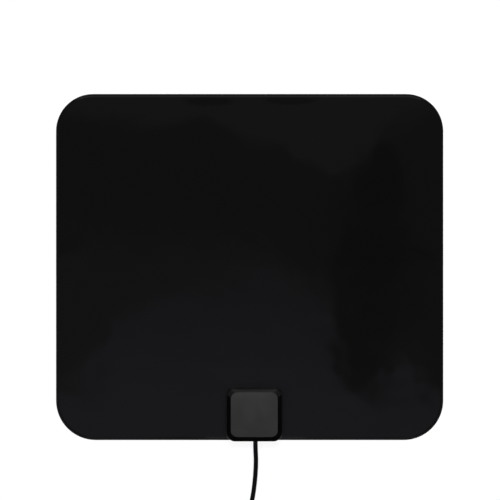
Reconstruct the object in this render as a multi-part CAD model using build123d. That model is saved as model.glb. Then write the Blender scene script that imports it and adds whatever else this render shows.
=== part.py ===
from build123d import *
from math import cos, hypot, pi, radians, sin, sqrt, tan
import os

# A flat indoor TV antenna that lies on its back: +Z is the front, +Y is up and -Y is the cable side.
# The origin is under the middle of the antenna, on the plane of its back. Millimetres.

# Laminated sheet
SHEET_WIDTH = 235.0
SHEET_HEIGHT = 210.0
TOP_CORNER_RADIUS = 22.5
BOTTOM_CORNER_RADIUS = 24.0
REAR_FILM = 0.3
FRONT_FILM = 0.3
RIM_WIDTH = 1.0
RIM_STEP = 0.7
RIM_DROP = 0.08

# Foil elements: two halves of a loop that follows the sheet's outline
FOIL_THICKNESS = 0.08
FOIL_MARGIN = 12.0
FOIL_BAND = 18.0
FOIL_OUTER_RADIUS = 11.0
FOIL_INNER_RADIUS = 5.0
FOIL_TOP_GAP = 24.0
FOIL_FEED_GAP = 8.0
FOIL_NOTCH_GAP = 1.5
FEED_TAB = 7.0

# Notch in the sheet for the housing's tray
NOTCH_WIDTH = 20.0
NOTCH_MARGIN = 9.9
NOTCH_RADIUS = 2.0
NOTCH_CLEARANCE = 0.15

# Feed housing
HOUSING_WIDTH = 33.9
HOUSING_LENGTH = 32.5
HOUSING_RADIUS = 5.4
HOUSING_OFFSET = 2.8
HOUSING_OVERHANG = 0.6
COVER_HEIGHT = 8.6
COVER_WALL = 1.5
BEVEL_WIDTH = 2.4
BEVEL_HEIGHT = 1.7
FACE_EDGE_RADIUS = 0.35
SHOULDER_RADIUS = 0.5
LIP_WIDTH = 0.6
LIP_HEIGHT = 0.5
LIP_EDGE_RADIUS = 0.4
COVER_CLEARANCE = 0.15
GASKET_THICKNESS = 0.15
FLANGE_THICKNESS = 1.0

# Snap bead on the tray's upper edge
BEAD_LENGTH = 12.0
BEAD_DEPTH = 0.5
BEAD_HEIGHT = 0.6
BEAD_CLEARANCE = 0.1

# Screws and their bosses
SCREW_SPACING = 14.4
SCREW_INSET = 7.8
SCREW_DIAMETER = 1.8
SCREW_LENGTH = 4.6
SCREW_CLEARANCE = 0.05
SCREW_HEAD_DIAMETER = 3.6
SCREW_HEAD_HEIGHT = 0.9
SCREW_HOLE_CLEARANCE = 0.15
SCREW_HEAD_RECESS = 0.1
CROSS_LENGTH = 2.0
CROSS_WIDTH = 0.5
CROSS_DEPTH = 0.45
BOSS_DIAMETER = 4.4

# Circuit board and the parts on it
BOARD_WIDTH = 24.0
BOARD_LENGTH = 14.0
BOARD_THICKNESS = 0.8
BOARD_CORNER_RADIUS = 1.0
PEG_DIAMETER = 1.4
PEG_SPACING = 20.0
PEG_INSET = 2.0
PEG_HEIGHT = 0.5
PEG_CLEARANCE = 0.1
CONTACT_SPACING = 16.0
CONTACT_INSET = 4.0
CONTACT_BOARD_MARGIN = 2.7
CONTACT_DIAMETER = 1.6
CONTACT_TIP_DIAMETER = 1.0
CONTACT_TIP_LENGTH = 0.5
CONTACT_HEAD_DIAMETER = 3.0
CONTACT_HEAD_HEIGHT = 0.5
CONTACT_CLEARANCE = 0.15
CORE_WIDTH = 7.0
CORE_LENGTH = 6.0
CORE_HEIGHT = 4.0
CORE_EDGE_RADIUS = 1.9
CORE_HOLE_DIAMETER = 1.9
CORE_HOLE_SPACING = 3.4
CORE_OFFSET = 0.5
WIRE_DIAMETER = 0.45
WIRE_SPACING = 0.6
WIRE_REACH = 1.0
WIRE_FOOT = 0.8
CAPACITOR_LENGTH = 2.0
CAPACITOR_WIDTH = 1.25
CAPACITOR_HEIGHT = 0.9
CAPACITOR_SPACING = 12.5
CAPACITOR_EDGE_RADIUS = 0.12

# Coaxial lead and its stripped end
CABLE_DIAMETER = 2.8
CABLE_OFFSET = 0.7
CABLE_HOLE_CLEARANCE = 0.1
STRIP_GAP = 2.0
BRAID_DIAMETER = 2.1
BRAID_LENGTH = 1.0
PIGTAIL_DIAMETER = 0.9
PIGTAIL_SPREAD = 1.8
PIGTAIL_LANDING = 0.9
PIGTAIL_FOOT = 1.8
DIELECTRIC_DIAMETER = 1.5
DIELECTRIC_LENGTH = 1.8
CONDUCTOR_DIAMETER = 0.5
CONDUCTOR_LANDING = 1.7
CONDUCTOR_FOOT = 1.0

# Cable tie between two ribs of the tray
TIE_WIDTH = 2.5
TIE_THICKNESS = 1.0
TIE_HEAD_WIDTH = 2.6
TIE_HEAD_HEIGHT = 3.2
TIE_INSET = 4.1
TIE_CLEARANCE = 0.2
RIB_THICKNESS = 1.2
RIB_WIDTH = 7.2
RIB_CLEARANCE = 0.15

# Largest share of a run that the arc at its end takes up
ARC_SHARE = 0.45

# Coil of the put-away length, and its strap
COIL_CENTRE_X = -23.7
COIL_CENTRE_Y = -180.0
COIL_RADIUS = 15.8
COIL_WIDTH = 11.9
COIL_LAYERS = 4
COIL_EDGE_BEVEL = 1.2
COIL_STUB_INSET = 0.3
COIL_STUB_MARGIN = 0.8
STRAP_THICKNESS = 0.5
STRAP_ARC = 16.0
STRAP_ANGLE = 135.0

# Aerial plug
GRIP_DIAMETER = 11.5
GRIP_LENGTH = 20.0
GRIP_EDGE_BEVEL = 0.8
BOOT_LENGTH = 11.0
BOOT_REAR_DIAMETER = 4.6
BOOT_FRONT_DIAMETER = 6.6
FLUTE_COUNT = 12
FLUTE_DIAMETER = 1.6
FLUTE_DEPTH = 0.45
FLUTE_END_MARGIN = 2.5
SHELL_DIAMETER = 9.5
SHELL_WALL = 0.45
SHELL_LENGTH = 9.5
COLLAR_DIAMETER = 10.4
COLLAR_LENGTH = 0.8
SPIGOT_DIAMETER = 8.4
SPIGOT_LENGTH = 6.0
INSULATOR_STAND_OUT = 1.5
PIN_DIAMETER = 2.35
PIN_STAND_OUT = 1.5
PIN_TIP_BEVEL = 0.6

# Levels, from the back to the front
SHEET_THICKNESS = REAR_FILM + FRONT_FILM
FLANGE_BOTTOM = SHEET_THICKNESS + GASKET_THICKNESS
FLANGE_TOP = FLANGE_BOTTOM + FLANGE_THICKNESS
BOARD_TOP = FLANGE_TOP + BOARD_THICKNESS
COVER_TOP = SHEET_THICKNESS + COVER_HEIGHT
CEILING = COVER_TOP - COVER_WALL
CABLE_RADIUS = CABLE_DIAMETER / 2
CABLE_LEVEL = FLANGE_TOP + TIE_CLEARANCE + TIE_THICKNESS + CABLE_RADIUS
CORE_LEVEL = BOARD_TOP + CORE_HEIGHT / 2

# Places across the sheet
SHEET_CENTRE = HOUSING_OVERHANG / 2
SHEET_BOTTOM = SHEET_CENTRE - SHEET_HEIGHT / 2
HOUSING_BOTTOM = SHEET_BOTTOM - HOUSING_OVERHANG
HOUSING_CENTRE = HOUSING_BOTTOM + HOUSING_LENGTH / 2
NOTCH_TOP = HOUSING_BOTTOM + HOUSING_LENGTH - NOTCH_MARGIN
INNER_WALL = HOUSING_BOTTOM + COVER_WALL
CONTACT_Y = NOTCH_TOP + CONTACT_INSET
CONTACT_X = [HOUSING_OFFSET - CONTACT_SPACING / 2, HOUSING_OFFSET + CONTACT_SPACING / 2]
BOARD_CENTRE = CONTACT_Y + CONTACT_BOARD_MARGIN - BOARD_LENGTH / 2
BOARD_BOTTOM = BOARD_CENTRE - BOARD_LENGTH / 2
CORE_CENTRE = BOARD_CENTRE + CORE_OFFSET
SCREW_X = [HOUSING_OFFSET - SCREW_SPACING / 2, HOUSING_OFFSET + SCREW_SPACING / 2]
SCREW_Y = HOUSING_BOTTOM + SCREW_INSET
PEG_X = [HOUSING_OFFSET - PEG_SPACING / 2, HOUSING_OFFSET + PEG_SPACING / 2]
PEG_Y = BOARD_BOTTOM + PEG_INSET
CABLE_X = HOUSING_OFFSET + CABLE_OFFSET
STRIP_Y = BOARD_BOTTOM - STRIP_GAP
TIE_Y = INNER_WALL + TIE_INSET

# Coil and plug, on the surface that the antenna lies on
COIL_HEIGHT = COIL_LAYERS * CABLE_DIAMETER
COIL_OUTER_RADIUS = COIL_RADIUS + COIL_WIDTH / 2
COIL_LEVEL = STRAP_THICKNESS + COIL_HEIGHT / 2
STUB_RADIUS = COIL_OUTER_RADIUS - CABLE_RADIUS - COIL_STUB_INSET
STUB_LENGTH = sqrt(COIL_OUTER_RADIUS**2 - (STUB_RADIUS - CABLE_RADIUS) ** 2) + COIL_STUB_MARGIN
STUB_IN_LEVEL = STRAP_THICKNESS + CABLE_RADIUS + COIL_STUB_INSET
STUB_OUT_LEVEL = STRAP_THICKNESS + COIL_HEIGHT - CABLE_RADIUS - COIL_STUB_INSET
LEAD_END = Vector(COIL_CENTRE_X + STUB_RADIUS, COIL_CENTRE_Y + STUB_LENGTH, STUB_IN_LEVEL)
TAIL_START = Vector(COIL_CENTRE_X - STUB_LENGTH, COIL_CENTRE_Y - STUB_RADIUS, STUB_OUT_LEVEL)
GRIP_LEVEL = GRIP_DIAMETER / 2

# Route of the lead from the housing's wall to the coil, and of the tail from the coil to the plug
LEAD_ROUTE = [
    Vector(CABLE_X, INNER_WALL, CABLE_LEVEL),
    Vector(CABLE_X, -109.5, CABLE_LEVEL),
    Vector(3.95, -117.5, 3.6),
    Vector(3.3, -129.0, 1.9),
    Vector(1.6, -141.6, 1.4),
    Vector(-1.6, -152.0, 1.4),
    Vector(LEAD_END.X, -160.4, LEAD_END.Z),
    LEAD_END,
]
TAIL_ROUTE = [
    TAIL_START,
    Vector(-44.7, TAIL_START.Y, TAIL_START.Z),
    Vector(-54.2, -198.6, GRIP_LEVEL),
    Vector(-63.2, -198.6, GRIP_LEVEL),
]
PLUG_REAR = TAIL_ROUTE[-1]


def rod(diameter, start, end):
    """A round bar between two points."""
    direction = Vector(*end) - Vector(*start)
    return Plane(origin=start, z_dir=direction) * extrude(Circle(diameter / 2), direction.length)


def upright(diameter, x, y, bottom, top):
    """A round bar that stands along Z."""
    return Pos(x, y, bottom) * extrude(Circle(diameter / 2), top - bottom)


def block(width, length, height, x, y, bottom):
    """A box that stands on a level."""
    return Pos(x, y, bottom + height / 2) * Box(width, length, height)


def folded_wire(diameter, points):
    """A thin round wire folded at each of its points."""
    path = Polyline(*points)
    return sweep(path.location_at(0) * Circle(diameter / 2), path, transition=Transition.RIGHT)


def turned(outline):
    """A solid of revolution about Z from points given as radius and height."""
    profile = make_face(Plane.XZ * Polyline(*outline, close=True))
    return revolve(profile, Axis.Z)


def sheet_outline(inset):
    """The sheet's outline set in by a distance, with larger corners at the cable side."""
    outline = Rectangle(SHEET_WIDTH - 2 * inset, SHEET_HEIGHT - 2 * inset)
    outline = fillet(outline.vertices().group_by(Axis.Y)[-1], TOP_CORNER_RADIUS - inset)
    outline = fillet(outline.vertices().group_by(Axis.Y)[0], BOTTOM_CORNER_RADIUS - inset)
    return Pos(0, SHEET_CENTRE) * outline


def notch_outline(margin):
    """The notch at the sheet's lower edge, open below, grown by a margin."""
    width = NOTCH_WIDTH + 2 * margin
    top = NOTCH_TOP + margin
    length = top - HOUSING_BOTTOM
    outline = Pos(HOUSING_OFFSET, top - length / 2) * Rectangle(width, length)
    return fillet(outline.vertices().group_by(Axis.Y)[-1], NOTCH_RADIUS + margin)


def foil_outlines():
    """The left and right foil elements, cut from one loop at the feed and at the top."""
    loop_width = SHEET_WIDTH - 2 * FOIL_MARGIN
    loop_height = SHEET_HEIGHT - 2 * FOIL_MARGIN
    loop = RectangleRounded(loop_width, loop_height, FOIL_OUTER_RADIUS)
    loop -= RectangleRounded(loop_width - 2 * FOIL_BAND, loop_height - 2 * FOIL_BAND, FOIL_INNER_RADIUS)
    loop = Pos(0, SHEET_CENTRE) * loop
    for x in CONTACT_X:
        loop += Pos(x, CONTACT_Y) * Rectangle(FEED_TAB, FEED_TAB)
    half = SHEET_HEIGHT / 2
    loop -= Pos(HOUSING_OFFSET, SHEET_CENTRE + half / 2) * Rectangle(FOIL_TOP_GAP, half)
    loop -= Pos(HOUSING_OFFSET, SHEET_CENTRE - half / 2) * Rectangle(FOIL_FEED_GAP, half)
    loop -= notch_outline(FOIL_NOTCH_GAP)
    return loop.faces().sort_by(Axis.X)


def rear_sheet(foils):
    """Back film, with a shallow pocket for each foil element."""
    film = extrude(sheet_outline(0) - notch_outline(0), REAR_FILM)
    for foil in foils:
        film -= foil
    return film


def front_sheet():
    """Front film, with a pressed rim, the notch and a window over each foil's feed tab."""
    level = Pos(0, 0, REAR_FILM)
    raised = level * extrude(sheet_outline(RIM_WIDTH), FRONT_FILM)
    face = raised.faces().sort_by(Axis.Z)[-1]
    raised = chamfer(face.edges(), RIM_STEP, RIM_DROP, reference=face)
    film = level * extrude(sheet_outline(0), FRONT_FILM - RIM_DROP) + raised
    film -= level * extrude(notch_outline(0), FRONT_FILM)
    for x in CONTACT_X:
        film -= upright(CONTACT_DIAMETER + 2 * CONTACT_CLEARANCE, x, CONTACT_Y, REAR_FILM, SHEET_THICKNESS)
    return film


def bevelled_block(inset, height, bevel_width, bevel_height):
    """The housing's outer form, or its inside when set in from the outer walls."""
    plan = RectangleRounded(HOUSING_WIDTH - 2 * inset, HOUSING_LENGTH - 2 * inset, HOUSING_RADIUS - inset)
    body = Pos(HOUSING_OFFSET, HOUSING_CENTRE, SHEET_THICKNESS) * extrude(plan, height)
    face = body.faces().sort_by(Axis.Z)[-1]
    return chamfer(face.edges(), bevel_width, bevel_height, reference=face)


def cover_lip():
    """A low rounded lip round the cover's foot, down to where its lower corners begin."""
    width = HOUSING_WIDTH + 2 * LIP_WIDTH
    length = HOUSING_LENGTH + 2 * LIP_WIDTH
    plan = Pos(HOUSING_OFFSET, HOUSING_CENTRE) * RectangleRounded(width, length, HOUSING_RADIUS + LIP_WIDTH)
    plan &= sheet_outline(HOUSING_RADIUS)
    lip = Pos(0, 0, SHEET_THICKNESS) * extrude(plan, LIP_HEIGHT)
    face = lip.faces().sort_by(Axis.Z)[-1]
    return fillet(face.edges(), LIP_EDGE_RADIUS)


def housing_front_cover():
    """Moulded cover: bevelled shell with a lip, two screw bosses, cable hole and the snap bead's groove."""
    cover = bevelled_block(0, COVER_HEIGHT, BEVEL_WIDTH, BEVEL_HEIGHT)
    levels = cover.edges().filter_by_position(Axis.Z, COVER_TOP - BEVEL_HEIGHT, COVER_TOP).group_by(Axis.Z)
    shoulder = levels[0]
    cover = fillet(shoulder, SHOULDER_RADIUS)
    face = cover.faces().sort_by(Axis.Z)[-1]
    cover = fillet(face.edges(), FACE_EDGE_RADIUS) + cover_lip()
    slant = hypot(BEVEL_WIDTH, BEVEL_HEIGHT)
    inner_height = BEVEL_HEIGHT - COVER_WALL * (BEVEL_WIDTH + BEVEL_HEIGHT - slant) / BEVEL_WIDTH
    inner_width = inner_height * BEVEL_WIDTH / BEVEL_HEIGHT
    cover -= bevelled_block(COVER_WALL, COVER_HEIGHT - COVER_WALL, inner_width, inner_height)
    for x in SCREW_X:
        cover += upright(BOSS_DIAMETER, x, SCREW_Y, FLANGE_TOP, CEILING + COVER_WALL / 2)
        pilot = SCREW_DIAMETER + 2 * SCREW_CLEARANCE
        cover -= upright(pilot, x, SCREW_Y, FLANGE_TOP, CEILING)
    hole_start = (CABLE_X, HOUSING_BOTTOM - COVER_WALL, CABLE_LEVEL)
    hole_end = (CABLE_X, INNER_WALL, CABLE_LEVEL)
    cover -= rod(CABLE_DIAMETER + 2 * CABLE_HOLE_CLEARANCE, hole_start, hole_end)
    return cover - snap_bead(BEAD_CLEARANCE)


def snap_bead(margin):
    """A bead with a sloping top along the tray's upper edge, or its groove when grown by a margin."""
    edge = HOUSING_BOTTOM + HOUSING_LENGTH - COVER_WALL - COVER_CLEARANCE
    bottom = FLANGE_TOP - BEAD_HEIGHT - margin
    tip = edge + BEAD_DEPTH + margin
    top = FLANGE_TOP + margin
    outline = [(edge, bottom), (tip, bottom), (edge, top)]
    profile = make_face(Plane.YZ * Polyline(*outline, close=True))
    return Pos(HOUSING_OFFSET) * extrude(profile, BEAD_LENGTH / 2 + margin, both=True)


def flange_outline():
    """The tray's flange, which fits inside the cover's walls."""
    inset = COVER_WALL + COVER_CLEARANCE
    plan = RectangleRounded(HOUSING_WIDTH - 2 * inset, HOUSING_LENGTH - 2 * inset, HOUSING_RADIUS - inset)
    return Pos(HOUSING_OFFSET, HOUSING_CENTRE) * plan


def cable_rib(y):
    """A rib of the tray with a round-bottomed slot that the cable lies in."""
    rib = block(RIB_WIDTH, RIB_THICKNESS, CABLE_LEVEL - FLANGE_TOP, CABLE_X, y, FLANGE_TOP)
    start = (CABLE_X, y - RIB_THICKNESS, CABLE_LEVEL)
    end = (CABLE_X, y + RIB_THICKNESS, CABLE_LEVEL)
    return rib - rod(CABLE_DIAMETER + 2 * RIB_CLEARANCE, start, end)


def housing_rear_cover():
    """Tray that fills the notch flush with the back, with a flange over the sheet's front."""
    plug = notch_outline(-NOTCH_CLEARANCE)
    tray = extrude(plug, SHEET_THICKNESS)
    tray += extrude(plug & flange_outline(), FLANGE_BOTTOM)
    tray += Pos(0, 0, FLANGE_BOTTOM) * extrude(flange_outline(), FLANGE_THICKNESS)
    tray += snap_bead(0)
    for side in (-1, 1):
        tray += cable_rib(TIE_Y + side * (TIE_WIDTH / 2 + TIE_CLEARANCE + RIB_THICKNESS / 2))
    for x in PEG_X:
        tray += upright(PEG_DIAMETER, x, PEG_Y, FLANGE_TOP, BOARD_TOP + PEG_HEIGHT)
    for x in CONTACT_X:
        tray -= upright(CONTACT_DIAMETER + 2 * CONTACT_CLEARANCE, x, CONTACT_Y, FLANGE_BOTTOM, FLANGE_TOP)
    for x in SCREW_X:
        tray -= upright(SCREW_DIAMETER + 2 * SCREW_HOLE_CLEARANCE, x, SCREW_Y, 0, FLANGE_TOP)
        seat = SCREW_HEAD_RECESS + SCREW_HEAD_HEIGHT
        tray -= upright(SCREW_HEAD_DIAMETER + 2 * SCREW_HOLE_CLEARANCE, x, SCREW_Y, 0, seat)
    return tray


def adhesive_gasket():
    """Adhesive between the tray's flange and the sheet, on three sides of the notch."""
    gasket = Pos(0, 0, SHEET_THICKNESS) * extrude(flange_outline() - notch_outline(0), GASKET_THICKNESS)
    window = CONTACT_DIAMETER + 2 * CONTACT_CLEARANCE
    for x in CONTACT_X:
        gasket -= upright(window, x, CONTACT_Y, SHEET_THICKNESS, FLANGE_BOTTOM)
    return gasket


def housing_screw(x):
    """Self-tapping screw from the back, with a cross recess in its head."""
    seat = SCREW_HEAD_RECESS + SCREW_HEAD_HEIGHT
    screw = upright(SCREW_HEAD_DIAMETER, x, SCREW_Y, SCREW_HEAD_RECESS, seat)
    screw += upright(SCREW_DIAMETER, x, SCREW_Y, seat, seat + SCREW_LENGTH)
    screw -= block(CROSS_LENGTH, CROSS_WIDTH, CROSS_DEPTH, x, SCREW_Y, SCREW_HEAD_RECESS)
    return screw - block(CROSS_WIDTH, CROSS_LENGTH, CROSS_DEPTH, x, SCREW_Y, SCREW_HEAD_RECESS)


def circuit_board():
    """Board with holes for the tray's pegs and the two contacts."""
    plan = RectangleRounded(BOARD_WIDTH, BOARD_LENGTH, BOARD_CORNER_RADIUS)
    board = Pos(HOUSING_OFFSET, BOARD_CENTRE, FLANGE_TOP) * extrude(plan, BOARD_THICKNESS)
    for x in PEG_X:
        board -= upright(PEG_DIAMETER + 2 * PEG_CLEARANCE, x, PEG_Y, FLANGE_TOP, BOARD_TOP)
    for x in CONTACT_X:
        board -= upright(CONTACT_DIAMETER + 2 * CONTACT_CLEARANCE, x, CONTACT_Y, FLANGE_TOP, BOARD_TOP)
    return board


def feed_contact(x):
    """Contact with its head on the board and its tip on the foil's feed tab."""
    tip = CONTACT_TIP_DIAMETER / 2
    barrel = CONTACT_DIAMETER / 2
    head = CONTACT_HEAD_DIAMETER / 2
    barrel_bottom = REAR_FILM + CONTACT_TIP_LENGTH
    head_top = BOARD_TOP + CONTACT_HEAD_HEIGHT
    outline = [(0, REAR_FILM), (tip, REAR_FILM), (tip, barrel_bottom), (barrel, barrel_bottom)]
    outline += [(barrel, BOARD_TOP), (head, BOARD_TOP), (head, head_top), (0, head_top)]
    return Pos(x, CONTACT_Y) * turned(outline)


def balun_core():
    """Ferrite block with two holes along Y."""
    section = RectangleRounded(CORE_WIDTH, CORE_HEIGHT, CORE_EDGE_RADIUS)
    for side in (-1, 1):
        section -= Pos(side * CORE_HOLE_SPACING / 2, 0) * Circle(CORE_HOLE_DIAMETER / 2)
    core = extrude(Plane.XZ * section, CORE_LENGTH / 2, both=True)
    return Pos(HOUSING_OFFSET, CORE_CENTRE, CORE_LEVEL) * core


def balun_winding(end):
    """One wire loop through both holes, with its two feet on the board at one end of the core."""
    reach = CORE_LENGTH / 2 + WIRE_SPACING
    bend = end * (reach + (WIRE_SPACING if end > 0 else 0))
    foot = bend + end * WIRE_REACH
    level = CORE_LEVEL + end * WIRE_SPACING / 2
    board = BOARD_TOP + WIRE_DIAMETER / 2
    side = CORE_HOLE_SPACING / 2
    toe = foot + end * WIRE_FOOT
    points = [(-side, toe, board), (-side, foot, board), (-side, bend, level), (-side, -end * reach, level)]
    points += [(side, -end * reach, level), (side, bend, level), (side, foot, board), (side, toe, board)]
    return Pos(HOUSING_OFFSET, CORE_CENTRE) * folded_wire(WIRE_DIAMETER, points)


def chip_capacitor(side):
    """Surface-mount capacitor beside the balun."""
    chip = Box(CAPACITOR_WIDTH, CAPACITOR_LENGTH, CAPACITOR_HEIGHT)
    chip = fillet(chip.edges().filter_by(Axis.Z), CAPACITOR_EDGE_RADIUS)
    x = HOUSING_OFFSET + side * CAPACITOR_SPACING / 2
    return Pos(x, CORE_CENTRE, BOARD_TOP + CAPACITOR_HEIGHT / 2) * chip


def strain_relief_tie():
    """Cable tie round the jacket, with its locking head beside the cable."""
    band = CABLE_DIAMETER + 2 * TIE_THICKNESS
    start = (CABLE_X, TIE_Y - TIE_WIDTH / 2, CABLE_LEVEL)
    end = (CABLE_X, TIE_Y + TIE_WIDTH / 2, CABLE_LEVEL)
    tie = rod(band, start, end)
    head_x = CABLE_X - CABLE_RADIUS - TIE_HEAD_WIDTH / 2
    tie += block(TIE_HEAD_WIDTH, TIE_WIDTH, TIE_HEAD_HEIGHT, head_x, TIE_Y, CABLE_LEVEL - TIE_HEAD_HEIGHT / 2)
    return tie - rod(CABLE_DIAMETER, start, end)


def coax_braid():
    """Bared braid, with a pigtail that comes down to the board."""
    strip = (CABLE_X, STRIP_Y, CABLE_LEVEL)
    braid_end = (CABLE_X, STRIP_Y + BRAID_LENGTH, CABLE_LEVEL)
    board = BOARD_TOP + PIGTAIL_DIAMETER / 2
    side = CABLE_X + BRAID_DIAMETER / 2
    landing = BOARD_BOTTOM + PIGTAIL_LANDING
    points = [(side - PIGTAIL_DIAMETER / 2, STRIP_Y + BRAID_LENGTH / 2, CABLE_LEVEL)]
    points += [(side + PIGTAIL_SPREAD / 2, STRIP_Y + BRAID_LENGTH, CABLE_LEVEL)]
    points += [(side + PIGTAIL_SPREAD, landing, board)]
    points += [(side + PIGTAIL_SPREAD, landing + PIGTAIL_FOOT, board)]
    braid = rod(BRAID_DIAMETER, strip, braid_end) + folded_wire(PIGTAIL_DIAMETER, points)
    return braid - coax_dielectric()


def coax_dielectric():
    """Bared inner insulation."""
    start = (CABLE_X, STRIP_Y, CABLE_LEVEL)
    end = (CABLE_X, STRIP_Y + DIELECTRIC_LENGTH, CABLE_LEVEL)
    return rod(DIELECTRIC_DIAMETER, start, end)


def coax_conductor():
    """Centre wire, bent down on to the board."""
    start = STRIP_Y + DIELECTRIC_LENGTH
    board = BOARD_TOP + CONDUCTOR_DIAMETER / 2
    landing = BOARD_BOTTOM + CONDUCTOR_LANDING
    points = [(CABLE_X, start, CABLE_LEVEL), (CABLE_X, start + CONDUCTOR_DIAMETER, CABLE_LEVEL)]
    points += [(CABLE_X, landing, board), (CABLE_X, landing + CONDUCTOR_FOOT, board)]
    return folded_wire(CONDUCTOR_DIAMETER, points)


def arc_radii(route):
    """Radius at each corner: the largest that the two runs beside it leave room for."""
    radii = []
    for before, corner, after in zip(route, route[1:], route[2:]):
        run = min((corner - before).length, (after - corner).length)
        turn = (corner - before).get_angle(after - corner)
        radii.append(ARC_SHARE * run / tan(radians(turn) / 2))
    return radii


def cable_tube(name, route):
    """The lead along its route, in straight runs joined by tangent arcs."""
    radii = arc_radii(route)
    path = FilletPolyline(*route, radius=radii)
    tube = sweep(path.location_at(0) * Circle(CABLE_RADIUS), path)
    ratio = tube.volume / (pi * CABLE_RADIUS**2 * path.length)
    print(name, "arc radii", [round(radius, 1) for radius in radii])
    print(name, "length", round(path.length, 1), "volume ratio", round(ratio, 4))
    return tube


def coil_section(margin):
    """The coil's cross-section, or the strap's outer line when grown by a margin."""
    section = Rectangle(COIL_WIDTH + 2 * margin, COIL_HEIGHT + 2 * margin)
    section = chamfer(section.vertices(), COIL_EDGE_BEVEL + margin * (2 - sqrt(2)))
    return Plane.XZ * Pos(COIL_RADIUS, COIL_LEVEL) * section


def cable_coil():
    """Outer form of the wound length, with a short straight end towards the lead and the tail."""
    coil = Pos(COIL_CENTRE_X, COIL_CENTRE_Y) * revolve(coil_section(0), Axis.Z)
    side = (LEAD_END.X, COIL_CENTRE_Y, LEAD_END.Z)
    near = (COIL_CENTRE_X, TAIL_START.Y, TAIL_START.Z)
    return coil + rod(CABLE_DIAMETER, side, LEAD_END) + rod(CABLE_DIAMETER, near, TAIL_START)


def coil_tie():
    """Strap round the coil's section."""
    strap = revolve(coil_section(STRAP_THICKNESS) - coil_section(0), Axis.Z, STRAP_ARC)
    return Pos(COIL_CENTRE_X, COIL_CENTRE_Y) * Rot(0, 0, STRAP_ANGLE) * strap


def on_plug_axis(piece):
    """Turn a piece made along +Z so that it points away from the cable's tail."""
    return Plane(origin=PLUG_REAR, x_dir=(0, 1, 0), z_dir=(-1, 0, 0)) * piece


def plug_grip():
    """Moulded grip with a tapered boot, flutes and a socket for the sleeve's spigot."""
    front = BOOT_LENGTH + GRIP_LENGTH
    outline = [(0, 0), (BOOT_REAR_DIAMETER / 2, 0), (BOOT_FRONT_DIAMETER / 2, BOOT_LENGTH)]
    outline += [(GRIP_DIAMETER / 2, BOOT_LENGTH), (GRIP_DIAMETER / 2, front), (0, front)]
    grip = turned(outline)
    rims = grip.edges().filter_by(GeomType.CIRCLE).sort_by(SortBy.RADIUS)[-2:]
    grip = chamfer(rims, GRIP_EDGE_BEVEL)
    flute_length = GRIP_LENGTH - 2 * FLUTE_END_MARGIN
    flute_centre = (GRIP_DIAMETER + FLUTE_DIAMETER) / 2 - FLUTE_DEPTH
    for index in range(FLUTE_COUNT):
        angle = 2 * pi * (index + 0.5) / FLUTE_COUNT
        x = flute_centre * cos(angle)
        y = flute_centre * sin(angle)
        bottom = BOOT_LENGTH + FLUTE_END_MARGIN
        grip -= upright(FLUTE_DIAMETER, x, y, bottom, bottom + flute_length)
    grip -= upright(SPIGOT_DIAMETER, 0, 0, front - SPIGOT_LENGTH, front)
    return on_plug_axis(grip)


def plug_shell():
    """Outer contact sleeve, with a collar against the grip and a spigot inside it."""
    front = BOOT_LENGTH + GRIP_LENGTH
    outside = SHELL_DIAMETER / 2
    spigot = SPIGOT_DIAMETER / 2
    collar = COLLAR_DIAMETER / 2
    collar_top = front + COLLAR_LENGTH
    mouth = collar_top + SHELL_LENGTH
    outline = [(spigot - SHELL_WALL, front - SPIGOT_LENGTH), (spigot, front - SPIGOT_LENGTH)]
    outline += [(spigot, front), (collar, front), (collar, collar_top), (outside, collar_top)]
    outline += [(outside, mouth), (outside - SHELL_WALL, mouth), (outside - SHELL_WALL, collar_top)]
    outline += [(spigot - SHELL_WALL, collar_top)]
    return on_plug_axis(turned(outline))


def plug_insulator():
    """Insulator in the spigot, bored for the pin."""
    front = BOOT_LENGTH + GRIP_LENGTH
    outside = SPIGOT_DIAMETER / 2 - SHELL_WALL
    rear = front - SPIGOT_LENGTH
    top = front + INSULATOR_STAND_OUT
    outline = [(PIN_DIAMETER / 2, rear), (outside, rear), (outside, top), (PIN_DIAMETER / 2, top)]
    return on_plug_axis(turned(outline))


def plug_pin():
    """Centre pin with a bevelled tip."""
    front = BOOT_LENGTH + GRIP_LENGTH
    tip = front + COLLAR_LENGTH + SHELL_LENGTH + PIN_STAND_OUT
    pin = upright(PIN_DIAMETER, 0, 0, front - SPIGOT_LENGTH, tip)
    pin = chamfer(pin.edges().sort_by(Axis.Z)[-1], PIN_TIP_BEVEL)
    return on_plug_axis(pin)


def foil_elements():
    """The left and right foil elements, set into the back film's front face."""
    level = Pos(0, 0, REAR_FILM - FOIL_THICKNESS)
    return [level * extrude(outline, FOIL_THICKNESS, dir=(0, 0, 1)) for outline in foil_outlines()]


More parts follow.
